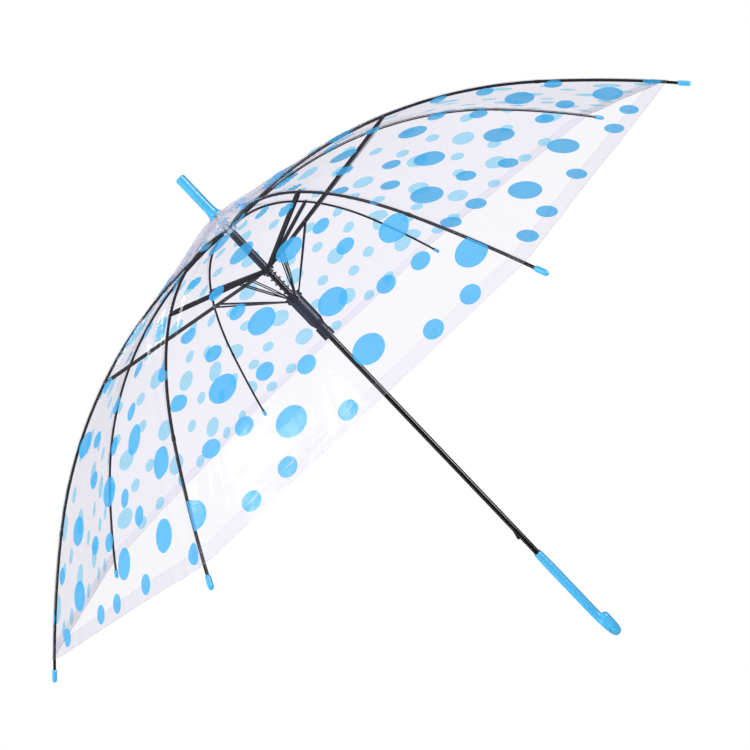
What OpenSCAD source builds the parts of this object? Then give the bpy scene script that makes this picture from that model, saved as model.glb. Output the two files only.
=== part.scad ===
// Clear dome stick umbrella with eight ribs, a self-opening double runner and a J handle.
// Millimetres. +Z runs up the shaft towards the ferrule. The origin is the middle of the grip.

/* [Shaft] */
// Outside diameter of the steel shaft
shaft_d = 8; // [6:0.1:14]
// Wall of the shaft tube
shaft_wall = 0.7; // [0.5:0.1:1.2]
// Length of bare shaft between the top of the handle and the closed lower runner
park_gap = 29.15; // [5:0.05:100]
// Depth that the shaft goes into the handle
shaft_in_handle = 60; // [40:1:80]
// Depth that the shaft goes into the ferrule
shaft_in_ferrule = 40; // [20:1:50]

/* [Ribs] */
// Number of ribs
rib_n = 8; // [8:1:8]
// Direction of the first rib
rib_az = 22.5; // [22.5:0.5:22.5]
// Length of a rib from its ring wire to the end of its tip cap
rib_len = 600; // [480:1:720]
// Diameter of a rib
rib_d = 3.2; // [2.4:0.1:4]
// Upward slope of a rib where it leaves the crown
rib_rise = 4.5; // [0:0.1:8]
// Length of the tightly bent part of a rib
rib_bend_len = 432; // [300:1:500]
// Downward slope at the end of the tightly bent part
rib_mid_slope = 39.8; // [25:0.1:45]
// Downward slope at the tip
rib_tip_slope = 47.3; // [35:0.1:55]
// Distance along a rib from the ring wire to the stretcher joint
joint_s = 247; // [180:1:300]
// Diameter of a tip cap
cap_d = 5.5; // [4.4:0.1:7]
// Length of a tip cap
cap_len = 14; // [10:0.5:20]
// Depth of the rib in its tip cap
cap_socket = 9; // [6:0.5:12]
// Length of the band on a rib that the film is tied to
band_len = 6; // [3:0.5:10]
// Wall of that band
band_wall = 0.35; // [0.2:0.05:0.5]

/* [Frame joints] */
// Radius of the ring that the ribs and the stretchers hang on
ring_r = 7; // [6:0.1:10]
// Diameter of the ring wires
wire_d = 1; // [0.8:0.1:1.4]
// Radial clearance of an eye on its ring wire
eye_clear = 0.15; // [0.1:0.05:0.3]
// Outside radius of an eye
eye_r = 1.5; // [1.2:0.1:1.6]
// Thickness of the flat end of a rib, stretcher or strut
tab_t = 1.6; // [1:0.1:2]
// Gap left over in a slot beside a flat end
slot_clear = 0.4; // [0.2:0.1:0.8]
// Gap between the round of a flat end and the bottom of its slot
slot_end = 0.2; // [0.1:0.05:0.5]
// Outside width of a stretcher
stretcher_w = 5.4; // [5.2:0.1:7]
// Height of a stretcher
stretcher_h = 4.2; // [3:0.1:5]
// Wall of a stretcher
stretcher_wall = 0.8; // [0.6:0.1:1]
// Radius of the rounded fork end of a stretcher
fork_r = 1.75; // [1.4:0.05:1.9]
// Depth of the fork of a stretcher
fork_len = 10; // [9:0.5:16]
// Diameter of the rivets
rivet_d = 1.5; // [1.2:0.1:2]
// Radial running clearance on the rivets and the shaft
run_clear = 0.06; // [0.02:0.01:0.1]
// Distance from the upper ring to the strut joint on a stretcher
strut_s = 79; // [60:1:100]
// Thickness of one leg of a strut
strut_leg = 0.9; // [0.6:0.1:1]
// Height of a strut
strut_h = 1.6; // [1.2:0.1:2]

/* [Runners] */
// Rim of the crown disc outside its ring wire
crown_rim = 3; // [2:0.1:5]
// Height of the crown disc
crown_h = 11; // [8:0.5:14]
// Radius of the neck of the crown
neck_r = 6; // [5.5:0.1:8]
// Rim of the upper runner's slotted hub outside its ring wire
hub_rim = 1.5; // [1.2:0.1:4]
// Height of the upper runner's slotted hub
hub_h = 8; // [6:0.5:12]
// Wall of the sleeve on the upper runner
sleeve_wall = 1.24; // [0.8:0.02:3]
// Distance between the rings of the two runners when the umbrella is open
runner_gap = 49; // [40:0.5:60]
// Wall between the spring's seat and the slots
seat_wall = 0.7; // [0.5:0.1:1.5]
// Rim of the lower runner's slotted flange outside its ring wire
flange_rim = 1.95; // [1.5:0.05:4]
// Height of the lower runner's slotted flange
flange_h = 8; // [6:0.5:10]
// Wall of the lower runner's body outside the spring's seat
runner_wall = 2.45; // [1:0.05:5]
// Distance from the lower ring to the shoulder of the body
runner_body = 41; // [30:1:60]
// Distance from the lower ring to the top of the bottom flange
runner_neck = 57; // [50:1:75]
// Distance from the lower ring to the bottom of the runner
runner_len = 68; // [60:1:90]
// Wall of the runner's neck
runner_neck_wall = 2.64; // [1.5:0.02:5]
// Step of the runner's bottom flange outside its neck
foot_step = 0.9; // [0.5:0.1:4]

/* [Spring] */
// Diameter of the spring wire
spring_wire = 1.4; // [1:0.1:1.6]
// Mean radius of the spring
spring_r = 5.8; // [5.2:0.1:8]
// Number of turns
spring_turns = 10.5; // [8:0.5:13]
// Depth of the spring in the lower runner
spring_seat = 26; // [15:1:35]
// Clearance of the spring in its seat
spring_clear = 0.4; // [0.2:0.1:1]

/* [Catch] */
// Distance of the catch nose above the bottom of the closed lower runner
catch_up = 8; // [5:0.5:12]
// How far the nose stands out of the shaft
catch_out = 2.4; // [1.5:0.1:2.6]
// Length of the catch along the shaft
catch_len = 16; // [10:1:20]
// Thickness of the catch
catch_t = 1.6; // [1:0.1:2]
// Gap round the catch in its slot
catch_clear = 0.15; // [0.1:0.05:0.4]
// How far the ribs turn from open to closed
fold_deg = 64.5; // [60:0.5:66]

/* [Canopy] */
// Thickness of the film
film_t = 0.5; // [0.4:0.1:1]
// Gap between the ribs and the film
film_gap = 0.75; // [0.6:0.05:1.5]
// Distance along a rib where the film starts to touch it
film_touch = 145; // [110:1:180]
// Length of rib left bare above the tip cap
film_short = 10; // [6:0.5:20]
// Width of the hem
hem_w = 16; // [8:0.5:25]
// Thickness of the hem
hem_t = 0.9; // [0.6:0.1:1.4]
// Gap between two panels of film along their seam
film_seam = 0.1; // [0.05:0.05:0.5]
// Steps in the film's curve
film_steps = 30; // [16:1:48]

/* [Ferrule] */
// Length of the ferrule
ferrule_len = 66.5; // [50:0.5:90]
// Radius of the straight part of the ferrule
ferrule_r = 6.7; // [5.6:0.1:9]
// Radius of the foot of the ferrule
ferrule_foot_r = 9.5; // [8.5:0.1:12]
// Height of the ferrule's flare
ferrule_flare = 17; // [10:1:24]

/* [Handle] */
// Distance from the middle of the grip to the top of the handle
grip_up = 45; // [35:1:60]
// Distance from the middle of the grip to the middle of the bend
grip_down = 67; // [50:1:80]
// Radius of the handle at its top
grip_top_r = 5.6; // [5.2:0.1:9]
// Radius of the handle's grip and hook
grip_r = 6.2; // [5.8:0.1:10]
// Length of the taper below the handle's top
grip_taper = 24; // [15:1:35]
// Radius of the middle line of the hook
hook_r = 27; // [20:1:35]
// Length of the hook's straight end
hook_end = 6; // [2:1:20]
// Direction of the hook, turned from -Y towards +X
hook_az = 10; // [-45:1:45]

/* [Hidden] */
$fn = 48;

step_deg = 360 / rib_n;
half_deg = step_deg / 2;
rib_r = rib_d / 2;
shaft_r = shaft_d / 2;
bore_r = shaft_r + run_clear;
slot_w = tab_t + slot_clear;
slot_in = ring_r - eye_r - slot_end;
eye_hole = wire_d / 2 + eye_clear;
crown_r = ring_r + crown_rim;
hub_r = ring_r + hub_rim;
sleeve_r = bore_r + sleeve_wall;
seat_r = spring_r + spring_wire / 2 + spring_clear;
low_ring_r = seat_r + seat_wall + slot_end + eye_r;
flange_r = low_ring_r + flange_rim;
runner_r = seat_r + runner_wall;
runner_neck_r = bore_r + runner_neck_wall;
foot_r = runner_neck_r + foot_step;
// the two arcs of a rib, in the plane of radius and height
bend_1 = rib_bend_len / (rib_mid_slope + rib_rise) * 180 / PI;
bend_2 = (rib_len - rib_bend_len) / (rib_tip_slope - rib_mid_slope) * 180 / PI;
c1 = [ring_r + bend_1 * sin(rib_rise), -bend_1 * cos(rib_rise)];
c2 = c1 + (bend_1 - bend_2) * [sin(rib_mid_slope), cos(rib_mid_slope)];
function slope(s) = s < rib_bend_len ? -rib_rise + s / bend_1 * 180 / PI
    : rib_mid_slope + (s - rib_bend_len) / bend_2 * 180 / PI;
function rib_at(s, off = 0) = let (a = slope(s), n = [sin(a), cos(a)])
    (s < rib_bend_len ? c1 + bend_1 * n : c2 + bend_2 * n) + off * n;
// the stretchers are as long as the ribs' inner arms, so the upper ring hangs twice as deep as the joint
joint_p = rib_at(joint_s);
arm = norm(joint_p - [ring_r, 0]);
arm_deg = atan2(-joint_p[1], joint_p[0] - ring_r);
upper_z = 2 * joint_p[1];
lower_z = upper_z - runner_gap;
strut_top = [ring_r + strut_s * cos(arm_deg), upper_z + strut_s * sin(arm_deg)];
strut_len = norm(strut_top - [low_ring_r, lower_z]);
strut_deg = atan2(strut_top[1] - lower_z, strut_top[0] - low_ring_r);
// where the lower runner stands when the ribs are folded down
shut_deg = arm_deg + fold_deg;
shut_top = [ring_r + strut_s * cos(shut_deg), -2 * arm * sin(shut_deg) + strut_s * sin(shut_deg)];
shut_lower_z = shut_top[1] - sqrt(pow(strut_len, 2) - pow(shut_top[0] - low_ring_r, 2));
catch_z = shut_lower_z - runner_len + catch_up;
// the crown ring stands as high above the middle of the grip as the closed runners need
crown_z = grip_up + park_gap + runner_len - shut_lower_z;
// the film
film_off = rib_r + film_gap + film_t / 2;
film_end = rib_len - cap_len - film_short;
film_in = neck_r + 0.3;
touch_p = rib_at(film_touch, film_off);
film_top = touch_p[1] + (touch_p[0] - film_in) * tan(slope(film_touch));
washer_z = film_top - (ferrule_foot_r - film_in) * tan(slope(film_touch)) - film_t - 0.1;
ferrule_z = film_top + film_t / 2 + 0.3;
cap_in = rib_len - cap_len;
rivet_r = rivet_d / 2;
fork_gap = stretcher_w - 2 * stretcher_wall;
hook_z = -grip_down;

// places its children on rib i, in the rib's own upright plane
module on_rib(i) rotate([0, 0, rib_az + (i - 1) * step_deg]) translate([0, 0, crown_z]) children();

// places its children at distance s along a rib, with +X along the rib
module along_rib(s) {
    p = rib_at(s);
    translate([p[0], 0, p[1]]) rotate([0, slope(s), 0]) children();
}

module tube(r, bore, h) difference() {
    cylinder(r = r, h = h);
    translate([0, 0, -1]) cylinder(r = bore, h = h + 2);
}

// an arc of round bar about centre c, from slope a to slope b
module bar_arc(c, bend, a, b, r) translate([c[0], 0, c[1]]) rotate([90, 0, 0])
    rotate([0, 0, 90 - b]) rotate_extrude(angle = b - a, $fn = 180) translate([bend, 0]) circle(r = r, $fn = 24);

module across(r, w) rotate([90, 0, 0]) translate([0, 0, -w / 2]) cylinder(r = r, h = w);

// a ring wire and the groove that holds it
module wire_ring(r, d) rotate_extrude($fn = 96) translate([r, 0]) circle(r = d / 2, $fn = 24);

module wire_groove(r, out) {
    rotate_extrude() translate([r, 0]) circle(r = wire_d / 2, $fn = 24);
    translate([0, 0, -wire_d / 2]) difference() {
        cylinder(r = out, h = wire_d);
        translate([0, 0, -1]) cylinder(r = r, h = wire_d + 2);
    }
}

// slots for the flat ends, from radius a outwards
module slots(a, h) for (i = [1 : rib_n]) rotate([0, 0, rib_az + (i - 1) * step_deg])
    translate([a, -slot_w / 2, -h / 2 - 1]) cube([20, slot_w, h + 2]);

module shaft_tube() {
    bottom = grip_up - shaft_in_handle;
    top = crown_z + ferrule_z + shaft_in_ferrule;
    color("#15161a") difference() {
        translate([0, 0, bottom]) tube(shaft_r, shaft_r - shaft_wall, top - bottom);
        translate([-shaft_r - 1, -catch_t / 2 - catch_clear, crown_z + catch_z - catch_len / 2 - catch_clear])
            cube([shaft_r, catch_t + 2 * catch_clear, catch_len + 2 * catch_clear]);
    }
}

module crown_notch() {
    neck = washer_z - 1.5 - crown_h / 2;
    color("#dfe6ee") translate([0, 0, crown_z]) difference() {
        union() {
            translate([0, 0, -crown_h / 2]) cylinder(r = crown_r, h = crown_h);
            translate([0, 0, crown_h / 2]) cylinder(r = neck_r, h = neck + 1.5);
        }
        translate([0, 0, -crown_h]) cylinder(r = shaft_r, h = 3 * crown_h);
        slots(slot_in, crown_h);
        wire_groove(ring_r, crown_r + 1);
    }
}

module crown_wire() color("#b9bec6") translate([0, 0, crown_z]) wire_ring(ring_r, wire_d);

module canopy_washer() color("#e8eef4") translate([0, 0, crown_z + washer_z - 1.5])
    tube(ferrule_foot_r - 0.3, neck_r, 1.5);

module ferrule() {
    n = 10;
    flare = [for (i = [0 : n]) [ferrule_r + (ferrule_foot_r - ferrule_r) * (1 - sin(90 * i / n)),
        2.5 + (ferrule_flare - 2.5) * (1 - cos(90 * i / n))]];
    dome = [for (i = [1 : 6]) [ferrule_r - 2.5 + 2.5 * cos(15 * i), ferrule_len - 2.5 + 2.5 * sin(15 * i)]];
    color("#5cc6f4") translate([0, 0, crown_z + ferrule_z]) difference() {
        rotate_extrude($fn = 72) polygon(concat([[0, 0], [ferrule_foot_r - 0.5, 0], [ferrule_foot_r, 0.5]],
            flare, [[ferrule_r, ferrule_len - 2.5]], dome, [[0, ferrule_len]]));
        translate([0, 0, -1]) cylinder(r = shaft_r, h = shaft_in_ferrule + 1);
    }
}

module handle() color("#55c3f5") difference() {
    union() {
        translate([0, 0, grip_up - 1.5]) cylinder(r1 = grip_top_r, r2 = grip_top_r - 0.6, h = 1.5);
        translate([0, 0, grip_up - grip_taper]) cylinder(r1 = grip_r, r2 = grip_top_r, h = grip_taper - 1.5);
        translate([0, 0, hook_z]) cylinder(r = grip_r, h = grip_up - grip_taper - hook_z);
        rotate([0, 0, hook_az]) {
            translate([0, -hook_r, hook_z]) rotate([90, 0, -90]) rotate([0, 0, 180])
                rotate_extrude(angle = 180, $fn = 96) translate([hook_r, 0]) circle(r = grip_r);
            translate([0, -2 * hook_r, hook_z]) cylinder(r = grip_r, h = hook_end);
            translate([0, -2 * hook_r, hook_z + hook_end]) sphere(r = grip_r);
        }
    }
    translate([0, 0, grip_up - shaft_in_handle]) cylinder(r = shaft_r, h = shaft_in_handle + 1);
}

// a rib: a round rod bent to two arcs, a flat eye on the ring wire and a rivet hole
module rib(i) color("#16171b") on_rib(i) difference() {
    union() {
        bar_arc(c1, bend_1, slope(10), rib_mid_slope, rib_r);
        bar_arc(c2, bend_2, rib_mid_slope, slope(cap_in + cap_socket), rib_r);
        along_rib(rib_bend_len) rotate([0, 90, 0]) translate([0, 0, -band_len / 2])
            cylinder(r = rib_r + band_wall, h = band_len);
        translate([ring_r, 0, 0]) {
            across(eye_r, tab_t);
            rotate([0, -rib_rise + 1, 0]) translate([0, -tab_t / 2, -eye_r]) cube([14, tab_t, 2 * eye_r]);
        }
    }
    translate([ring_r, 0, 0]) across(eye_hole, tab_t + 2);
    along_rib(joint_s) across(rivet_r + run_clear, rib_d + 2);
}

module tip_cap(i) color("#5cc6f4") on_rib(i) difference() {
    along_rib(cap_in) rotate([0, 90, 0]) {
        cylinder(r1 = cap_d / 2 - 0.5, r2 = cap_d / 2, h = 2);
        translate([0, 0, 2]) cylinder(r = cap_d / 2, h = cap_len - 4);
        translate([0, 0, cap_len - 2]) cylinder(r1 = cap_d / 2, r2 = cap_d / 2 - 1.3, h = 2);
    }
    bar_arc(c2, bend_2, slope(cap_in - 4), slope(cap_in + cap_socket), rib_r);
}

// one panel of film between rib i and the next: straight across, bent along its length
film_s = [for (k = [0 : film_steps]) film_touch + (film_end - hem_w - film_touch) * k / film_steps];
function film_pt(s, off) = let (p = rib_at(s, film_off + off)) [p[0] * cos(half_deg), p[1]];
function film_side(off) = concat(
    [let (a = slope(film_touch)) [film_in * cos(half_deg), film_top + off / cos(a)]],
    [for (s = film_s) film_pt(s, off)]);
function backwards(v) = [for (k = [len(v) - 1 : -1 : 0]) v[k]];
module gore(i) {
    up = film_t / 2;
    hem_up = hem_t - film_t / 2;
    s0 = film_end - hem_w;
    hem = [for (k = [0 : 2]) s0 + hem_w * k / 2];
    band = concat(film_side(up), [for (s = hem) film_pt(s, hem_up)],
        backwards([for (s = hem) film_pt(s, -up)]), backwards(film_side(-up)));
    reach = rib_at(film_end, 10)[0] + 10;
    seam_in = film_seam / 2 / sin(half_deg);
    color("#dfe3fb", 0.35) rotate([0, 0, half_deg]) on_rib(i) intersection() {
        rotate([90, 0, 0]) translate([0, 0, -reach]) linear_extrude(2 * reach) polygon(band);
        translate([0, 0, -rib_len]) linear_extrude(2 * rib_len)
            polygon([[seam_in, 0], for (y = [-1, 1]) [reach, y * (reach - seam_in) * tan(half_deg)]]);
    }
}

// a stretcher: a folded steel channel with a flat eye inside and a fork outside
module stretcher(i) color("#1b1c22") on_rib(i) translate([ring_r, 0, upper_z]) rotate([0, -arm_deg, 0])
    difference() {
        union() {
            across(eye_r, tab_t);
            translate([0, -tab_t / 2, -eye_r]) cube([15, tab_t, 2 * eye_r]);
            translate([10, -stretcher_w / 2, -stretcher_h / 2])
                cube([arm - 10 - fork_len, stretcher_w, stretcher_h]);
            translate([arm - fork_len - 1, -stretcher_w / 2, -fork_r]) cube([fork_len + 1, stretcher_w, 2 * fork_r]);
            translate([arm, 0, 0]) across(fork_r, stretcher_w);
        }
        translate([15, -fork_gap / 2, -stretcher_h]) cube([arm, fork_gap, stretcher_h * 1.5 - stretcher_wall]);
        for (y = [-1, 1]) translate([9, y > 0 ? tab_t / 2 : -fork_gap / 2, -stretcher_h])
            cube([7, (fork_gap - tab_t) / 2, stretcher_h * 1.5 - stretcher_wall]);
        translate([arm - fork_len, -fork_gap / 2, -stretcher_h]) cube([2 * fork_len, fork_gap, 2 * stretcher_h]);
        across(eye_hole, tab_t + 2);
        translate([strut_s, 0, 0]) across(rivet_r, stretcher_w + 2);
        translate([arm, 0, 0]) across(rivet_r, stretcher_w + 2);
    }

// the two rivets of a stretcher: the rib turns on one, the strut on the other
module rivets(i) color("#8d929b") on_rib(i) translate([ring_r, 0, upper_z]) rotate([0, -arm_deg, 0])
    for (x = [strut_s, arm]) translate([x, 0, 0]) {
        across(rivet_r, stretcher_w);
        for (y = [-1, 1]) translate([0, y * (stretcher_w / 2 + 0.25), 0]) across(rivet_r + 0.55, 0.5);
    }

// a strut: two legs inside the stretcher, joined to one flat end that hooks on the lower ring
module strut(i) color("#24252b") on_rib(i) translate([strut_top[0], 0, strut_top[1]])
    rotate([0, 180 - strut_deg, 0]) difference() {
        half = fork_gap / 2 - 0.1;
        translate([0, 0, -strut_h / 2]) linear_extrude(strut_h) difference() {
            polygon([[0, -half], [62, -half], [78, -tab_t / 2], [strut_len + 1, -tab_t / 2],
                [strut_len + 1, tab_t / 2], [78, tab_t / 2], [62, half], [0, half]]);
            polygon([[-1, strut_leg - half], [62, strut_leg - half], [74, 0],
                [62, half - strut_leg], [-1, half - strut_leg]]);
        }
        across(rivet_r + run_clear, stretcher_w);
        translate([strut_len, 0, 0]) {
            across(eye_hole, tab_t + 2);
            rotate([90, 0, 0]) translate([0, 0, -tab_t]) linear_extrude(2 * tab_t)
                polygon([[0, 0], [6, -8], [6, 8]]);
        }
    }

module upper_runner() {
    sleeve = -upper_z - crown_h / 2 - hub_h / 2 - 0.1;
    color("#23252d") translate([0, 0, crown_z + upper_z]) difference() {
        union() {
            translate([0, 0, -hub_h / 2]) cylinder(r = hub_r, h = hub_h);
            translate([0, 0, hub_h / 2]) cylinder(r = sleeve_r, h = sleeve);
        }
        translate([0, 0, -hub_h]) cylinder(r = bore_r, h = sleeve + 3 * hub_h);
        slots(slot_in, hub_h);
        wire_groove(ring_r, hub_r + 1);
    }
}

module upper_wire() color("#b9bec6") translate([0, 0, crown_z + upper_z]) wire_ring(ring_r, wire_d);

module lower_runner() {
    top = flange_h / 2;
    color("#23252d") translate([0, 0, crown_z + lower_z]) difference() {
        union() {
            rotate_extrude($fn = 72) polygon([[0, top], [flange_r, top], [flange_r, -top], [runner_r, -top],
                [runner_r, -runner_body], [runner_neck_r, -runner_body - 8], [runner_neck_r, -runner_neck],
                [foot_r, -runner_neck - 1], [foot_r, -runner_len], [0, -runner_len]]);
            translate([-foot_r - 1.2, -2.4, -runner_len]) cube([5, 4.8, catch_up + catch_len / 2 + 2]);
        }
        translate([0, 0, -runner_len - 1]) cylinder(r = bore_r, h = runner_len + top + 2);
        translate([0, 0, -spring_seat]) cylinder(r = seat_r, h = spring_seat + top + 1);
        // the slot that the catch nose stands in when the umbrella is shut
        translate([-shaft_r - catch_out - 0.4, -catch_t / 2 - 0.3, -runner_len - 1])
            cube([shaft_r, catch_t + 0.6, catch_up + catch_len / 2 + 2]);
        for (i = [1 : rib_n]) rotate([0, 0, rib_az + (i - 1) * step_deg])
            translate([seat_r + seat_wall, -slot_w / 2, -top - 1]) cube([20, slot_w, flange_h + 2]);
        wire_groove(low_ring_r, flange_r + 1);
    }
}

module lower_wire() color("#b9bec6") translate([0, 0, crown_z + lower_z]) wire_ring(low_ring_r, wire_d);

// the opening spring, a round wire wound between the two runners
module spring() {
    bottom = -spring_seat + spring_wire / 2;
    top = runner_gap - hub_h / 2 - spring_wire / 2;
    n = 16;
    m = 8;
    steps = round(n * spring_turns);
    pts = [for (k = [0 : steps]) let (a = 360 * k / n, z = bottom + (top - bottom) * k / steps)
        for (j = [0 : m - 1]) let (b = 360 * j / m, r = spring_r + spring_wire / 2 * cos(b))
            [r * cos(a), r * sin(a), z + spring_wire / 2 * sin(b)]];
    sides = [for (k = [0 : steps - 1]) for (j = [0 : m - 1]) let (q = (j + 1) % m)
        for (t = [[k * m + j, k * m + m + j, k * m + q], [k * m + q, k * m + m + j, k * m + m + q]]) t];
    color("#2a2c34") translate([0, 0, crown_z + lower_z])
        polyhedron(concat(pts), concat(sides, [[for (j = [0 : m - 1]) j]],
            [[for (j = [m - 1 : -1 : 0]) steps * m + j]]));
}

module catch() {
    in = shaft_r - shaft_wall - 0.1;
    h = catch_len / 2;
    color("#9aa0a8") translate([0, 0, crown_z + catch_z]) rotate([90, 0, 0]) translate([0, 0, -catch_t / 2])
        linear_extrude(catch_t) polygon([[-in, h], [-shaft_r, h - 1], [-shaft_r - catch_out, -h + 4],
            [-shaft_r - catch_out, -h + 1.5], [-shaft_r, -h + 1], [-in, -h], [-in + 2.2, -h], [-in + 2.2, h]]);
}

shaft_tube();
crown_notch();
crown_wire();
canopy_washer();
ferrule();
handle();
rib(1);  // rib_1
rib(2);  // rib_2
rib(3);  // rib_3
rib(4);  // rib_4
rib(5);  // rib_5
rib(6);  // rib_6
rib(7);  // rib_7
rib(8);  // rib_8
tip_cap(1);  // tip_cap_1
tip_cap(2);  // tip_cap_2
tip_cap(3);  // tip_cap_3
tip_cap(4);  // tip_cap_4
tip_cap(5);  // tip_cap_5
tip_cap(6);  // tip_cap_6
tip_cap(7);  // tip_cap_7
tip_cap(8);  // tip_cap_8
gore(1);  // gore_1
gore(2);  // gore_2
gore(3);  // gore_3
gore(4);  // gore_4
gore(5);  // gore_5
gore(6);  // gore_6
gore(7);  // gore_7
gore(8);  // gore_8
stretcher(1);  // stretcher_1
stretcher(2);  // stretcher_2
stretcher(3);  // stretcher_3
stretcher(4);  // stretcher_4
stretcher(5);  // stretcher_5
stretcher(6);  // stretcher_6
stretcher(7);  // stretcher_7
stretcher(8);  // stretcher_8
rivets(1);  // rivets_1
rivets(2);  // rivets_2
rivets(3);  // rivets_3
rivets(4);  // rivets_4
rivets(5);  // rivets_5
rivets(6);  // rivets_6
rivets(7);  // rivets_7
rivets(8);  // rivets_8
strut(1);  // strut_1
strut(2);  // strut_2
strut(3);  // strut_3
strut(4);  // strut_4
strut(5);  // strut_5
strut(6);  // strut_6
strut(7);  // strut_7
strut(8);  // strut_8
upper_runner();
upper_wire();
lower_runner();
lower_wire();
spring();
catch();
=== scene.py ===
"""Looks of the clear dome stick umbrella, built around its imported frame.

Metres, in the frame's own axes: +Z runs up the shaft towards the ferrule, and the origin is the
middle of the grip. The eight steel ribs, their stretchers, the runners and the handle stay as the
frame has them. The film, its printed dots, its hem and seams, and the opening spring are made here.
"""

import math

import bmesh
import bpy
from mathutils import Matrix, Vector, noise


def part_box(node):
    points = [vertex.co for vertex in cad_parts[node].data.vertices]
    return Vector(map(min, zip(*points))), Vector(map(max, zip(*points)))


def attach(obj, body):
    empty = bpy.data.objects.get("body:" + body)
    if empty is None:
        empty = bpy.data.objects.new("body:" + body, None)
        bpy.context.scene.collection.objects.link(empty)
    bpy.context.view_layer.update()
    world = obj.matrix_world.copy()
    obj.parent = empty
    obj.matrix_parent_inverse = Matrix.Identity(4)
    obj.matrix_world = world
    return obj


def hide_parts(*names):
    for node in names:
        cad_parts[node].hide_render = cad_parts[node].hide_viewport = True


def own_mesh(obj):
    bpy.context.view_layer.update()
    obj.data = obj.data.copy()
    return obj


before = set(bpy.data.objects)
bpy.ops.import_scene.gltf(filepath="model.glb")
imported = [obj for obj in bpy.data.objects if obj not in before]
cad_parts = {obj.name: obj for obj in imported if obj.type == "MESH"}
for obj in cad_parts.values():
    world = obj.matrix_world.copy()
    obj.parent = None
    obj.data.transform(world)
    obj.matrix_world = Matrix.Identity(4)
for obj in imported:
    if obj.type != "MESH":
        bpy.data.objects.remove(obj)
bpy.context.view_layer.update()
MM = 0.001

# ---- driving dimensions, the same as the frame's ------------------------------------------
RIBS = 8
STEP = 2 * math.pi / RIBS
HALF = STEP / 2
FIRST_RIB = math.radians(22.5)
RING = 7 * MM
CROWN = (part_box("crown_wire")[0].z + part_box("crown_wire")[1].z) / 2
RIB_LENGTH = 600 * MM
RIB_BEND = 432 * MM
RISE, MID, TIP = math.radians(4.5), math.radians(39.8), math.radians(47.3)
RIB_RADIUS = 1.6 * MM
JOINT = 247 * MM
FILM_OFF = RIB_RADIUS + 1.0 * MM
FILM_TOUCH = 145 * MM
FILM_IN = 6.3 * MM
FILM_END = 576 * MM
HEM = 16 * MM
HEM_LINE = FILM_END - HEM
# Cells across one sheet of film.
ACROSS = 72

BEND_1 = RIB_BEND / (MID + RISE)
BEND_2 = (RIB_LENGTH - RIB_BEND) / (TIP - MID)
CENTRE_1 = (RING + BEND_1 * math.sin(RISE), -BEND_1 * math.cos(RISE))
CENTRE_2 = (
    CENTRE_1[0] + (BEND_1 - BEND_2) * math.sin(MID),
    CENTRE_1[1] + (BEND_1 - BEND_2) * math.cos(MID),
)


def azimuth(i):
    """Direction of rib i, 1 to 8."""
    return FIRST_RIB + (i - 1) * STEP


def slope(s):
    """Downward slope of a rib at distance s along it."""
    return s / BEND_1 - RISE if s < RIB_BEND else MID + (s - RIB_BEND) / BEND_2


def rib_at(s, off=0.0):
    """(radius, height above the crown ring) at distance s along a rib, off its middle line."""
    a = slope(s)
    c, b = (CENTRE_1, BEND_1) if s < RIB_BEND else (CENTRE_2, BEND_2)
    return c[0] + (b + off) * math.sin(a), c[1] + (b + off) * math.cos(a)


# ---- the film's shape ----------------------------------------------------------------------
TOUCH = rib_at(FILM_TOUCH, FILM_OFF)
TOUCH_SLOPE = slope(FILM_TOUCH)
FILM_START = FILM_TOUCH - (TOUCH[0] - FILM_IN) / math.cos(TOUCH_SLOPE)


def film_line(s):
    """(radius, height) of the film over a rib: a cone from the ferrule, then along the rib."""
    if s < FILM_TOUCH:
        back = FILM_TOUCH - s
        return TOUCH[0] - back * math.cos(TOUCH_SLOPE), TOUCH[1] + back * math.sin(TOUCH_SLOPE)
    return rib_at(s, FILM_OFF)


def ridge(x):
    """A sharp fold: 1 on the crest, 0 in the trough."""
    return 1 - abs(math.sin(x))


# How deep the lengthwise pleats are beside each rib, rib 1 first.
SLACK = [0.3 * MM, 0.3 * MM, 0.4 * MM, 0.8 * MM, 1.4 * MM, 1.8 * MM, 0.5 * MM, 0.3 * MM]


def swell(s, phi, over, p, nearest):
    """How far the film stands off its stretched line. over is the distance from the nearest rib."""
    crown = math.exp(-(((s - 0.02) / 0.12) ** 2))
    gathers = (
        1.0 * ridge(9.5 * phi + 0.7 + 14 * s)
        + 0.8 * ridge(16.5 * phi + 2.2 - 22 * s)
        + 0.5 * ridge(27.5 * phi + 1.1 + 9 * s)
        - 1.0
    )
    out = 4.6 * MM * crown * gathers * min(1.0, max(0.0, s - FILM_START) / 0.012)
    held = 1 - math.exp(-((over / (7 * MM)) ** 2)) * min(1.0, s / FILM_TOUCH)
    slack = SLACK[nearest % RIBS] * min(1.0, max(0.0, s - 0.05) / 0.08)
    narrow = ridge(over / 0.0085 + 3.0 * math.sin(5.0 * s + nearest))
    wide = 0.7 * ridge(over / 0.0135 - 2.0 * math.sin(7.0 * s))
    beside = math.exp(-((over / 0.055) ** 2)) * (1 - math.exp(-((over / 0.006) ** 2)))
    out += slack * (narrow + wide - 0.75) * beside
    pull = math.exp(-(((s - JOINT) / 0.07) ** 2)) * math.exp(-((over / 0.05) ** 2))
    out += 0.8 * MM * pull * math.sin(30 * over / 0.05 + 40 * (s - JOINT) / 0.07) * held
    out += 2.2 * MM * noise.noise(p * 7.0) * held
    out += 0.7 * MM * noise.noise(p * 23.0 + Vector((3.1, 1.7, 9.2))) * held
    return out


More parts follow.
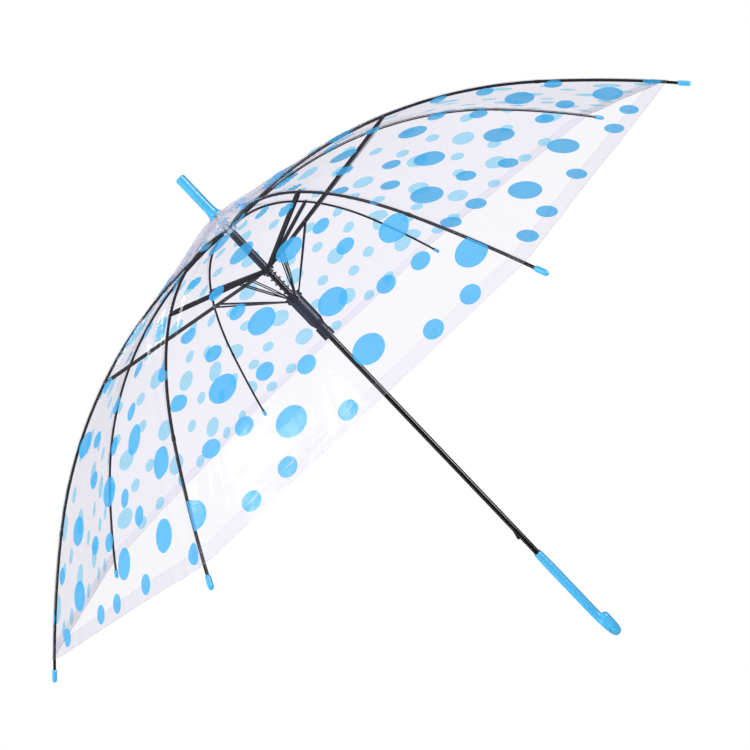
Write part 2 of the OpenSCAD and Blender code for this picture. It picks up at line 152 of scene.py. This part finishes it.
def film_point(s, phi, lift=0.0):
    """A point of the film at distance s along the ribs and azimuth phi, stood off by lift."""
    nearest = round((phi - FIRST_RIB) / STEP)
    rib_phi = FIRST_RIB + nearest * STEP
    off = phi - rib_phi
    r, z = film_line(s)
    soft = math.sqrt(off * off + (1.4 * MM / max(r, 4 * MM)) ** 2)
    delta = HALF - min(soft, HALF)
    radius = r * math.cos(HALF) / math.cos(delta)
    over = abs(off) * r
    side = 1 if off >= 0 else -1
    lean = rib_phi + side * HALF * (1 - math.exp(-over / (2 * MM)))
    a = TOUCH_SLOPE if s < FILM_TOUCH else slope(s)
    normal = Vector((math.sin(a) * math.cos(lean), math.sin(a) * math.sin(lean), math.cos(a)))
    p = Vector((radius * math.cos(phi), radius * math.sin(phi), CROWN + z))
    return p + normal * (lift + swell(s, phi, over, p, nearest))


def panel_half_width(s):
    """Half the width of a panel of film at distance s."""
    return film_line(s)[0] * math.sin(HALF)


def panel_line(steps=288):
    """Pairs of distance along the rib and distance down the panel's own middle line."""
    line, down = [(0.0, 0.0)], 0.0
    for k in range(steps):
        s0, s1 = FILM_END * k / steps, FILM_END * (k + 1) / steps
        (r0, z0), (r1, z1) = film_line(s0), film_line(s1)
        down += math.hypot((r1 - r0) * math.cos(HALF), z1 - z0)
        line.append((s1, down))
    return line


PANEL_LINE = panel_line()


def rib_distance(down):
    """The distance along the rib that lies level with a distance down the panel's middle line."""
    for (s0, d0), (s1, d1) in zip(PANEL_LINE, PANEL_LINE[1:]):
        if down <= d1:
            return s0 + (s1 - s0) * (down - d0) / (d1 - d0)
    return FILM_END


def panel_phi(i, s, y):
    """Azimuth of the point that lies y across panel i from its middle line."""
    return azimuth(i) + HALF + math.atan2(y, film_line(s)[0] * math.cos(HALF))


# ---- materials -----------------------------------------------------------------------------
def socket(group, name, kind, way, value=None):
    made = group.interface.new_socket(name=name, in_out=way, socket_type=kind)
    if value is not None:
        made.default_value = value
    return made


def worn_surface():
    """Fine unevenness of a moulded or painted surface: a shade mask, a roughness and a height."""
    g = bpy.data.node_groups.new("worn_surface", "ShaderNodeTree")
    socket(g, "Grain", "NodeSocketFloat", "INPUT", 400)
    socket(g, "Roughness", "NodeSocketFloat", "INPUT", 0.3)
    socket(g, "Spread", "NodeSocketFloat", "INPUT", 0.1)
    socket(g, "Shade", "NodeSocketFloat", "OUTPUT")
    socket(g, "Roughness", "NodeSocketFloat", "OUTPUT")
    socket(g, "Height", "NodeSocketFloat", "OUTPUT")
    n, k = g.nodes, g.links
    start, end = n.new("NodeGroupInput"), n.new("NodeGroupOutput")
    place = n.new("ShaderNodeTexCoord")
    fine, broad, scuff = (n.new("ShaderNodeTexNoise") for _ in range(3))
    fine.inputs["Detail"].default_value = 3
    broad.inputs["Scale"].default_value = 38
    scuff.inputs["Scale"].default_value = 210
    scuff.inputs["Detail"].default_value = 8
    k.new(start.outputs["Grain"], fine.inputs["Scale"])
    for t in (fine, broad, scuff):
        k.new(place.outputs["Object"], t.inputs["Vector"])
    spread = n.new("ShaderNodeMath")
    spread.operation = "MULTIPLY_ADD"
    k.new(scuff.outputs["Fac"], spread.inputs[0])
    k.new(start.outputs["Spread"], spread.inputs[1])
    k.new(start.outputs["Roughness"], spread.inputs[2])
    k.new(broad.outputs["Fac"], end.inputs["Shade"])
    k.new(spread.outputs[0], end.inputs["Roughness"])
    k.new(fine.outputs["Fac"], end.inputs["Height"])
    return g


WORN = worn_surface()
PLASTIC_IOR = 1.5


def solid(
    name, dark, light, rough, spread, grain, bump, metallic=0.0, coat=0.0, coat_rough=0.1, sub=0.0
):
    """A plain plastic, paint or metal between two close shades, with its own fine unevenness."""
    m = bpy.data.materials.new(name)
    m.use_nodes = True
    n, k = m.node_tree.nodes, m.node_tree.links
    shader = n["Principled BSDF"]
    worn = n.new("ShaderNodeGroup")
    worn.node_tree = WORN
    worn.inputs["Grain"].default_value = grain
    worn.inputs["Roughness"].default_value = rough
    worn.inputs["Spread"].default_value = spread
    ramp = n.new("ShaderNodeValToRGB")
    ramp.color_ramp.elements[0].position, ramp.color_ramp.elements[1].position = 0.3, 0.7
    ramp.color_ramp.elements[0].color = (*dark, 1)
    ramp.color_ramp.elements[1].color = (*light, 1)
    height = n.new("ShaderNodeBump")
    height.inputs["Strength"].default_value = bump
    height.inputs["Distance"].default_value = 0.0004
    k.new(worn.outputs["Shade"], ramp.inputs["Fac"])
    k.new(ramp.outputs["Color"], shader.inputs["Base Color"])
    k.new(worn.outputs["Roughness"], shader.inputs["Roughness"])
    k.new(worn.outputs["Height"], height.inputs["Height"])
    k.new(height.outputs["Normal"], shader.inputs["Normal"])
    shader.inputs["Metallic"].default_value = metallic
    shader.inputs["Coat Weight"].default_value = coat
    shader.inputs["Coat Roughness"].default_value = coat_rough
    shader.inputs["IOR"].default_value = PLASTIC_IOR
    if sub:
        shader.inputs["Subsurface Weight"].default_value = sub
        shader.inputs["Subsurface Radius"].default_value = (0.004, 0.006, 0.008)
        shader.inputs["Subsurface Scale"].default_value = 0.5
    return m


def creases(name, scale, stretch):
    """Clear film's creases as a height, drawn out away from the crown, with a cloud of faint shade
    and a mask that is 1 at the crown."""
    g = bpy.data.node_groups.new(name, "ShaderNodeTree")
    socket(g, "Height", "NodeSocketFloat", "OUTPUT")
    socket(g, "Cloud", "NodeSocketFloat", "OUTPUT")
    socket(g, "Crown", "NodeSocketFloat", "OUTPUT")
    n, k = g.nodes, g.links
    end = n.new("NodeGroupOutput")
    flat = n.new("ShaderNodeUVMap")
    flat.uv_map = "film"
    place = n.new("ShaderNodeMapping")
    place.inputs["Scale"].default_value = stretch
    long_folds, small, cloud = (n.new("ShaderNodeTexNoise") for _ in range(3))
    long_folds.inputs["Scale"].default_value = scale
    long_folds.inputs["Detail"].default_value = 4
    long_folds.inputs["Distortion"].default_value = 0.6
    small.inputs["Scale"].default_value = scale * 4
    small.inputs["Detail"].default_value = 3
    cloud.inputs["Scale"].default_value = 9
    cloud.inputs["Detail"].default_value = 3
    k.new(flat.outputs["UV"], place.inputs["Vector"])
    k.new(place.outputs["Vector"], long_folds.inputs["Vector"])
    k.new(flat.outputs["UV"], small.inputs["Vector"])
    k.new(flat.outputs["UV"], cloud.inputs["Vector"])
    add = n.new("ShaderNodeMath")
    add.operation = "MULTIPLY_ADD"
    add.inputs[1].default_value = 0.25
    k.new(small.outputs["Fac"], add.inputs[0])
    k.new(long_folds.outputs["Fac"], add.inputs[2])
    k.new(add.outputs[0], end.inputs["Height"])
    k.new(cloud.outputs["Fac"], end.inputs["Cloud"])
    parts, near = n.new("ShaderNodeSeparateXYZ"), n.new("ShaderNodeMapRange")
    near.interpolation_type = "SMOOTHSTEP"
    near.inputs["From Min"].default_value = 0.15
    near.inputs["From Max"].default_value = 0.01
    k.new(flat.outputs["UV"], parts.inputs[0])
    k.new(parts.outputs["Y"], near.inputs["Value"])
    k.new(near.outputs["Result"], end.inputs["Crown"])
    return g


CREASES = creases("film_creases", 14.0, (3.0, 0.8, 1.0))


def clear_film(name, tint, body, haze, glare, edge, rough, bump, milk=0.0):
    """Clear film: light goes through with a faint tint. haze is its milkiness, which grows by milk
    towards the gathered crown. glare is how much it mirrors face on, and edge is what a slant adds."""
    m = bpy.data.materials.new(name)
    m.use_nodes = True
    n, k = m.node_tree.nodes, m.node_tree.links
    out, cloudy = n["Material Output"], n["Principled BSDF"]
    through = n.new("ShaderNodeBsdfTransparent")
    through.inputs["Color"].default_value = (*tint, 1)
    made = n.new("ShaderNodeGroup")
    made.node_tree = CREASES
    height = n.new("ShaderNodeBump")
    height.inputs["Strength"].default_value = bump
    height.inputs["Distance"].default_value = 0.004
    k.new(made.outputs["Height"], height.inputs["Height"])
    cloudy.inputs["Roughness"].default_value = 0.6
    cloudy.inputs["IOR"].default_value = PLASTIC_IOR
    k.new(height.outputs["Normal"], cloudy.inputs["Normal"])
    shade = n.new("ShaderNodeMix")
    shade.data_type = "RGBA"
    shade.inputs[6].default_value = (*[c * 0.93 for c in body], 1)
    shade.inputs[7].default_value = (*body, 1)
    k.new(made.outputs["Cloud"], shade.inputs[0])
    k.new(shade.outputs[2], cloudy.inputs["Base Color"])
    milky = n.new("ShaderNodeMath")
    milky.operation = "MULTIPLY_ADD"
    milky.use_clamp = True
    milky.inputs[1].default_value = milk
    milky.inputs[2].default_value = haze
    k.new(made.outputs["Crown"], milky.inputs[0])
    veil = n.new("ShaderNodeMixShader")
    k.new(milky.outputs[0], veil.inputs["Fac"])
    k.new(through.outputs[0], veil.inputs[1])
    k.new(cloudy.outputs[0], veil.inputs[2])
    mirror = n.new("ShaderNodeBsdfAnisotropic")
    mirror.inputs["Color"].default_value = (1.0, 1.0, 1.0, 1)
    mirror.inputs["Roughness"].default_value = rough
    k.new(height.outputs["Normal"], mirror.inputs["Normal"])
    slant = n.new("ShaderNodeLayerWeight")
    slant.inputs["Blend"].default_value = 0.5
    k.new(height.outputs["Normal"], slant.inputs["Normal"])
    steep = n.new("ShaderNodeMath")
    steep.operation = "POWER"
    steep.inputs[1].default_value = 3.5
    k.new(slant.outputs["Facing"], steep.inputs[0])
    share = n.new("ShaderNodeMath")
    share.operation = "MULTIPLY_ADD"
    share.use_clamp = True
    share.inputs[1].default_value = edge
    share.inputs[2].default_value = glare
    k.new(steep.outputs[0], share.inputs[0])
    mix = n.new("ShaderNodeMixShader")
    k.new(share.outputs[0], mix.inputs["Fac"])
    k.new(veil.outputs[0], mix.inputs[1])
    k.new(mirror.outputs[0], mix.inputs[2])
    k.new(mix.outputs[0], out.inputs["Surface"])
    return m


def dot_ink(name):
    """Translucent sky-blue ink under the film. From inside, with the light behind it, it is paler."""
    m = bpy.data.materials.new(name)
    m.use_nodes = True
    n, k = m.node_tree.nodes, m.node_tree.links
    out, ink = n["Material Output"], n["Principled BSDF"]
    made = n.new("ShaderNodeGroup")
    made.node_tree = CREASES
    height = n.new("ShaderNodeBump")
    height.inputs["Strength"].default_value = 0.25
    height.inputs["Distance"].default_value = 0.003
    k.new(made.outputs["Height"], height.inputs["Height"])
    k.new(height.outputs["Normal"], ink.inputs["Normal"])
    ink.inputs["Roughness"].default_value = 0.32
    tone = n.new("ShaderNodeValToRGB")
    tone.color_ramp.elements[0].position, tone.color_ramp.elements[1].position = 0.35, 0.65
    tone.color_ramp.elements[0].color = (0.020, 0.490, 0.92, 1)
    tone.color_ramp.elements[1].color = (0.030, 0.530, 0.96, 1)
    k.new(made.outputs["Cloud"], tone.inputs["Fac"])
    k.new(tone.outputs["Color"], ink.inputs["Base Color"])
    side = n.new("ShaderNodeNewGeometry")
    cover = n.new("ShaderNodeMath")
    cover.operation = "MULTIPLY_ADD"
    cover.inputs[1].default_value = -0.62
    cover.inputs[2].default_value = 0.78
    k.new(side.outputs["Backfacing"], cover.inputs[0])
    through = n.new("ShaderNodeBsdfTransparent")
    through.inputs["Color"].default_value = (0.53, 0.89, 1.0, 1)
    mix = n.new("ShaderNodeMixShader")
    k.new(cover.outputs[0], mix.inputs["Fac"])
    k.new(through.outputs[0], mix.inputs[1])
    k.new(ink.outputs[0], mix.inputs[2])
    k.new(mix.outputs[0], out.inputs["Surface"])
    return m


BLACK_PAINT = solid(
    "black_paint", (0.003, 0.003, 0.004), (0.006, 0.006, 0.008),
    rough=0.16, spread=0.03, grain=300, bump=0.0, coat=0.4, coat_rough=0.09,
)
BLACK_STEEL = solid(
    "black_steel", (0.008, 0.009, 0.014), (0.016, 0.018, 0.028),
    rough=0.28, spread=0.10, grain=400, bump=0.01, coat=0.3,
)
DARK_PLASTIC = solid(
    "dark_plastic", (0.014, 0.020, 0.042), (0.022, 0.030, 0.060),
    rough=0.32, spread=0.12, grain=300, bump=0.02,
)
SPRING_STEEL = solid(
    "spring_steel", (0.05, 0.055, 0.075), (0.10, 0.105, 0.13),
    rough=0.25, spread=0.20, grain=900, bump=0.06, metallic=0.9,
)
BRIGHT_WIRE = solid(
    "bright_wire", (0.42, 0.44, 0.48), (0.58, 0.60, 0.64),
    rough=0.22, spread=0.15, grain=900, bump=0.05, metallic=1.0,
)
RIVET_STEEL = solid(
    "rivet_steel", (0.20, 0.21, 0.24), (0.34, 0.35, 0.39),
    rough=0.28, spread=0.20, grain=900, bump=0.06, metallic=1.0,
)
BLUE_PLASTIC = solid(
    "blue_plastic", (0.058, 0.52, 0.92), (0.068, 0.55, 0.95),
    rough=0.34, spread=0.03, grain=60, bump=0.0, coat=0.4, coat_rough=0.18,
)
MILKY_PLASTIC = solid(
    "milky_plastic", (0.56, 0.63, 0.74), (0.74, 0.80, 0.88),
    rough=0.24, spread=0.15, grain=420, bump=0.06, sub=0.2,
)
FILM = clear_film(
    "film", tint=(0.966, 0.959, 1.0), body=(0.96, 0.95, 1.0),
    haze=0.012, glare=0.022, edge=0.14, rough=0.10, bump=0.30, milk=0.42,
)
HEM_FILM = clear_film(
    "hem_film", tint=(0.978, 0.970, 1.0), body=(0.90, 0.89, 0.99),
    haze=0.03, glare=0.03, edge=0.28, rough=0.14, bump=0.22,
)
WELD = clear_film(
    "weld", tint=(0.965, 0.96, 0.995), body=(0.92, 0.91, 1.0),
    haze=0.06, glare=0.05, edge=0.3, rough=0.2, bump=0.1,
)
INK = dot_ink("dot_ink")


# ---- pieces --------------------------------------------------------------------------------
def piece(name, bm, material, body, flat_uv=None):
    """Makes the mesh a named piece that rides on a body of the frame."""
    mesh = bpy.data.meshes.new(name)
    bm.to_mesh(mesh)
    bm.free()
    mesh.shade_smooth()
    obj = bpy.data.objects.new(name, mesh)
    bpy.context.scene.collection.objects.link(obj)
    mesh.materials.append(material)
    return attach(obj, body)


def lay_on_film(bm, i, lift):
    """Turns a flat cut of rib i's sheet, x as a share of the way to the panel's middle line and y the
    distance along the rib, into its place, and keeps the flat cut as the UV map."""
    uv = bm.loops.layers.uv.new("film")
    for face in bm.faces:
        for loop in face.loops:
            x, s = loop.vert.co.x, loop.vert.co.y
            loop[uv].uv = (x * panel_half_width(s) + i * 0.7, s)
    for v in bm.verts:
        x, s = v.co.x, v.co.y
        phi = azimuth(i) + math.copysign(abs(x) ** 1.25, x) * HALF
        v.co = film_point(s, phi, lift)


def fold_flat(obj):
    """Gives the sheet its own copy of its mesh."""
    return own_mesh(obj)


def band(i, name, s0, s1, across, along, lift, material, x0=-1.0, x1=1.0):
    """A strip of rib i's sheet from distance s0 to s1, cut as a grid and laid on the canopy."""
    bm = bmesh.new()
    bmesh.ops.create_grid(bm, x_segments=across, y_segments=along, size=1)
    bmesh.ops.scale(bm, vec=((x1 - x0) / 2, (s1 - s0) / 2, 1), verts=bm.verts)
    bmesh.ops.translate(bm, vec=((x0 + x1) / 2, (s0 + s1) / 2, 0), verts=bm.verts)
    lay_on_film(bm, i, lift)
    face_out(bm, i)
    return piece(f"{name}_{i}", bm, material, f"rib_{i}")


def face_out(bm, i):
    """Turns the faces outwards."""
    bm.normal_update()
    outward = Vector((math.cos(azimuth(i)), math.sin(azimuth(i)), 1.0))
    total = sum((f.normal * f.calc_area() for f in bm.faces), Vector())
    if total.dot(outward) < 0:
        bmesh.ops.reverse_faces(bm, faces=bm.faces)


# One repeat of the print: (distance down the film, distance across, diameter), in millimetres.
LARGE, SMALL = 33, 20.5
PRINT_REPEAT = 225
PRINT = [
    (528, 83, SMALL), (528, -22, SMALL), (528, -97, SMALL),
    (494, 28, LARGE), (494, -69, LARGE),
    (452, 80, SMALL), (457, -25, SMALL), (460, -107, SMALL),
    (427, -60, SMALL), (421, 32, LARGE), (405, -103, LARGE),
    (372, -33, LARGE), (376, 77, SMALL), (357, -91, SMALL),
    (325, 73, SMALL), (316, 33, LARGE), (334, -47, SMALL), (302, -103, SMALL),
    (278, -54, SMALL), (246, 58, SMALL), (247, -8, LARGE),
    (215, -70, SMALL), (197, 36, SMALL), (181, 82, LARGE), (168, -25, LARGE),
    (140, 10, SMALL), (118, -40, SMALL), (95, 30, LARGE), (66, -12, SMALL), (45, 14, SMALL),
]  # fmt: skip
# How far each panel was cut to one side of the print.
PRINT_SHIFT = [24, 30, -6, 6, 98, 15, -15, -48]


def cut_finer(bm, diameter, s, y):
    """Cuts a dot near the crown into narrow strips, so that it follows the gathers there."""
    for wide, normal in ((2 * MM, Vector((1, 0, 0))), (6 * MM, Vector((0, 1, 0)))):
        for k in range(1, round(diameter / wide)):
            place = Vector((y, s, 0)) + normal * (k * wide - diameter / 2)
            everything = bm.verts[:] + bm.edges[:] + bm.faces[:]
            bmesh.ops.bisect_plane(bm, geom=everything, plane_co=place, plane_no=normal)


def print_disc(diameter, s, y, keep):
    """One dot in the flat panel, cut off where keep says that the panel ends."""
    bm = bmesh.new()
    bmesh.ops.create_circle(bm, cap_ends=True, segments=36, radius=diameter / 2)
    for share in (0.3, 0.42):
        middle = max(bm.faces, key=lambda f: len(f.verts))
        bmesh.ops.inset_individual(bm, faces=[middle], thickness=diameter / 2 * share)
    bmesh.ops.translate(bm, vec=(y, s, 0), verts=bm.verts)
    if s < 0.2:
        cut_finer(bm, diameter, s, y)
    for point, normal in keep:
        everything = bm.verts[:] + bm.edges[:] + bm.faces[:]
        bmesh.ops.bisect_plane(bm, geom=everything, plane_co=point, plane_no=normal, clear_outer=True)
    return bm


def printed_dots(i):
    """All dots on rib i's sheet: the near halves of the panels on its two sides."""
    whole = bmesh.new()
    uv = whole.loops.layers.uv.new("film")
    gap = 0.6 * MM
    for panel, side in ((i, -1), ((i - 2) % RIBS + 1, 1)):
        for s_mm, y_mm, d_mm in PRINT:
            for turn in (-2, -1, 0, 1, 2):
                d = d_mm * MM
                s = s_mm * MM
                y = (y_mm + turn * PRINT_REPEAT + PRINT_SHIFT[panel - 1]) * MM
                width = panel_half_width(rib_distance(s))
                if abs(y) > width + d / 2 or y * side < -d / 2 or s + d / 2 > PANEL_LINE[-1][1]:
                    continue
                above, below = rib_distance(s - d / 2), rib_distance(s + d / 2)
                lean = (panel_half_width(below) - panel_half_width(above)) / d
                seam = ((side * (width - gap), s, 0), (side, -lean, 0))
                middle = ((0, s, 0), (-side, 0, 0))
                dot = print_disc(d, s, y, [seam, middle])
                mesh = bpy.data.meshes.new("dot")
                for v in dot.verts:
                    s_at, y_at = rib_distance(v.co.y), v.co.x
                    v.co = film_point(s_at, panel_phi(panel, s_at, y_at), -0.35 * MM)
                dot.to_mesh(mesh)
                dot.free()
                whole.from_mesh(mesh)
                bpy.data.meshes.remove(mesh)
    for face in whole.faces:
        for loop in face.loops:
            loop[uv].uv = (loop.vert.co.x * 0.9 + i * 0.3, loop.vert.co.y * 0.9 + loop.vert.co.z)
    face_out(whole, i)
    return piece(f"dots_{i}", whole, INK, f"rib_{i}")


def canopy():
    """The film as one curved skin over the ribs. It parts along the panels' middle lines, where it
    folds, and each of its eight sheets turns with the rib that holds it."""
    for i in range(1, RIBS + 1):
        film = band(i, "film", FILM_START, FILM_END, ACROSS, 130, 0.0, FILM)
        hem = band(i, "hem", HEM_LINE, FILM_END, ACROSS, 5, -0.5 * MM, HEM_FILM)
        weld = band(i, "hem_weld", HEM_LINE - 0.7 * MM, HEM_LINE + 0.7 * MM, ACROSS, 2, 0.25 * MM, WELD)
        edge = band(i, "hem_edge", FILM_END - 1.2 * MM, FILM_END - 0.2 * MM, ACROSS, 2, 0.25 * MM, WELD)
        seam = rib_seam(i)
        dots = printed_dots(i)
        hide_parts(f"gore_{i}")
        for p in (film, hem, weld, edge, seam, dots):
            fold_flat(p)


def rib_seam(i):
    """The welded seam of two panels: a narrow doubled strip over the rib."""
    bm = bmesh.new()
    bmesh.ops.create_grid(bm, x_segments=6, y_segments=90, size=1)
    uv = bm.loops.layers.uv.new("film")
    s0, s1 = FILM_START + 4 * MM, FILM_END
    for face in bm.faces:
        for loop in face.loops:
            loop[uv].uv = (loop.vert.co.x * 0.01, loop.vert.co.y)
    for v in bm.verts:
        s = s0 + (v.co.y + 1) / 2 * (s1 - s0)
        across = v.co.x * 2.6 * MM
        v.co = film_point(s, azimuth(i) + across / max(film_line(s)[0], 6 * MM), 0.3 * MM)
    face_out(bm, i)
    return piece(f"rib_seam_{i}", bm, HEM_FILM, f"rib_{i}")


def opening_spring():
    """The opening spring, a round wire wound between the two runners, with closed end turns."""
    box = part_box("spring")
    wire, mean = 1.4 * MM, 5.8 * MM
    low, high = box[0].z + wire / 2 + 0.3 * MM, box[1].z - wire / 2 - 0.3 * MM
    closed, turns, per = 1.0, 8.5, 28
    bm = bmesh.new()
    upright = Matrix.Translation((mean, 0, low)) @ Matrix.Rotation(math.pi / 2, 4, "X")
    bmesh.ops.create_circle(bm, segments=10, radius=wire / 2, matrix=upright)
    ends = bm.edges[:]
    rise_closed = wire * 1.02
    rest = (high - low) - 2 * closed * rise_closed
    for count, rise in ((closed, rise_closed), (turns, rest), (closed, rise_closed)):
        steps = round(count * per)
        climb = rise / steps
        made = bmesh.ops.spin(
            bm, geom=ends, cent=(0, 0, 0), axis=(0, 0, 1), dvec=(0, 0, climb), angle=2 * math.pi * count,
            steps=steps, use_merge=False, use_duplicate=False,
        )
        ends = [e for e in made["geom_last"] if isinstance(e, bmesh.types.BMEdge)]
    bmesh.ops.holes_fill(bm, edges=bm.edges, sides=12)
    bmesh.ops.recalc_face_normals(bm, faces=bm.faces)
    spring = piece("opening_spring", bm, SPRING_STEEL, "lower_runner")
    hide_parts("spring")
    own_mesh(spring)


def finish_nodes():
    """Materials of the frame's own pieces."""
    finishes = {
        "shaft_tube": BLACK_PAINT, "crown_notch": MILKY_PLASTIC, "canopy_washer": MILKY_PLASTIC,
        "ferrule": BLUE_PLASTIC, "handle": BLUE_PLASTIC, "upper_runner": DARK_PLASTIC,
        "lower_runner": DARK_PLASTIC, "catch": BLACK_STEEL, "spring": SPRING_STEEL,
        "rib": BLACK_PAINT, "tip_cap": BLUE_PLASTIC, "stretcher": BLACK_STEEL, "strut": BLACK_STEEL,
        "rivets": RIVET_STEEL, "gore": FILM,
        "crown_wire": BRIGHT_WIRE, "upper_wire": BRIGHT_WIRE, "lower_wire": BRIGHT_WIRE,
    }  # fmt: skip
    for name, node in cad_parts.items():
        kind = name.rstrip("0123456789").rstrip("_")
        node.data.materials.clear()
        node.data.materials.append(finishes[kind])


# ---- studio --------------------------------------------------------------------------------
def studio():
    """A plain white floor and soft boxes round a white room."""
    scene = bpy.context.scene
    scene.view_settings.view_transform = "Standard"
    world = bpy.data.worlds.new("studio")
    scene.world = world
    world.use_nodes = True
    n, k = world.node_tree.nodes, world.node_tree.links
    n.clear()
    out = n.new("ShaderNodeOutputWorld")
    seen, light = n.new("ShaderNodeBackground"), n.new("ShaderNodeBackground")
    seen.inputs["Color"].default_value = (1, 1, 1, 1)
    path, mix = n.new("ShaderNodeLightPath"), n.new("ShaderNodeMixShader")
    place, tone = n.new("ShaderNodeTexCoord"), n.new("ShaderNodeTexGradient")
    turn = n.new("ShaderNodeMapping")
    turn.inputs["Rotation"].default_value = (0, math.radians(90), 0)
    ramp = n.new("ShaderNodeValToRGB")
    ramp.color_ramp.elements[0].color = (0.70, 0.71, 0.76, 1)
    ramp.color_ramp.elements[1].color = (1.0, 1.0, 1.0, 1)
    k.new(place.outputs["Generated"], turn.inputs["Vector"])
    k.new(turn.outputs["Vector"], tone.inputs["Vector"])
    k.new(tone.outputs["Fac"], ramp.inputs["Fac"])
    k.new(ramp.outputs["Color"], light.inputs["Color"])
    light.inputs["Strength"].default_value = 0.95
    dark = n.new("ShaderNodeBackground")
    dark.inputs["Strength"].default_value = 0.10
    k.new(ramp.outputs["Color"], dark.inputs["Color"])
    room = n.new("ShaderNodeMixShader")
    k.new(path.outputs["Is Glossy Ray"], room.inputs["Fac"])
    k.new(light.outputs[0], room.inputs[1])
    k.new(dark.outputs[0], room.inputs[2])
    k.new(path.outputs["Is Camera Ray"], mix.inputs["Fac"])
    k.new(room.outputs[0], mix.inputs[1])
    k.new(seen.outputs[0], mix.inputs[2])
    k.new(mix.outputs[0], out.inputs["Surface"])
    soft_box("key_box", (-1.6, -2.0, 2.6), 1.1, 1.1, 34)
    soft_box("low_box", (-2.2, -0.6, 0.3), 0.25, 2.0, 8)
    soft_box("side_box", (2.2, -1.25, 0.6), 0.8, 2.6, 90, shine_only=True)
    soft_box("back_box", (-0.9, 2.3, 2.3), 0.5, 0.25, 3, shine_only=True)
    soft_box("top_box", (-0.46, -0.84, 2.58), 0.46, 0.22, 2.8, shine_only=True)
    bm = bmesh.new()
    bmesh.ops.create_circle(bm, cap_ends=True, segments=64, radius=6, matrix=Matrix.Translation((0, 0, -1.1)))
    mesh = bpy.data.meshes.new("floor")
    bm.to_mesh(mesh)
    bm.free()
    floor = bpy.data.objects.new("floor", mesh)
    scene.collection.objects.link(floor)
    mesh.materials.append(white_floor())
    floor.visible_glossy = False


def white_floor():
    m = bpy.data.materials.new("white_floor")
    m.use_nodes = True
    n, k = m.node_tree.nodes, m.node_tree.links
    shader = n["Principled BSDF"]
    tone = n.new("ShaderNodeTexNoise")
    tone.inputs["Scale"].default_value = 2
    ramp = n.new("ShaderNodeValToRGB")
    ramp.color_ramp.elements[0].color = (0.90, 0.90, 0.90, 1)
    ramp.color_ramp.elements[1].color = (0.94, 0.94, 0.94, 1)
    k.new(tone.outputs["Fac"], ramp.inputs["Fac"])
    k.new(ramp.outputs["Color"], shader.inputs["Base Color"])
    shader.inputs["Roughness"].default_value = 0.9
    shader.inputs["Emission Color"].default_value = (1, 1, 1, 1)
    path = n.new("ShaderNodeLightPath")
    glow = n.new("ShaderNodeEmission")
    mix = n.new("ShaderNodeMixShader")
    k.new(path.outputs["Is Camera Ray"], mix.inputs["Fac"])
    k.new(shader.outputs[0], mix.inputs[1])
    k.new(glow.outputs[0], mix.inputs[2])
    k.new(mix.outputs[0], n["Material Output"].inputs["Surface"])
    return m


def soft_box(name, place, width, height, power, shine_only=False):
    lamp = bpy.data.lights.new(name, "AREA")
    lamp.shape = "RECTANGLE"
    lamp.size, lamp.size_y = width, height
    lamp.energy = power
    obj = bpy.data.objects.new(name, lamp)
    bpy.context.scene.collection.objects.link(obj)
    obj.visible_diffuse = not shine_only
    obj.location = place
    obj.rotation_mode = "QUATERNION"
    obj.rotation_quaternion = (Vector((0, 0, 0.4)) - Vector(place)).to_track_quat("-Z", "Y")


def camera():
    """The camera looks slightly down past the middle of the shaft, and is turned on its side so that
    the shaft runs from corner to corner."""
    lens = bpy.data.cameras.new("camera")
    lens.sensor_width = 36
    lens.lens = 56.4
    lens.clip_end = 100
    cam = bpy.data.objects.new("camera", lens)
    bpy.context.scene.collection.objects.link(cam)
    place, aim = Vector((0.0886, -1.5054, 0.5474)), Vector((0.0068, 0.0, 0.3661))
    cam.rotation_mode = "QUATERNION"
    cam.location = place
    upright = (aim - place).to_track_quat("-Z", "Y")
    cam.rotation_quaternion = upright @ Matrix.Rotation(math.radians(-43.65), 3, "Z").to_quaternion()
    bpy.context.scene.camera = cam


finish_nodes()
canopy()
opening_spring()
studio()
camera()
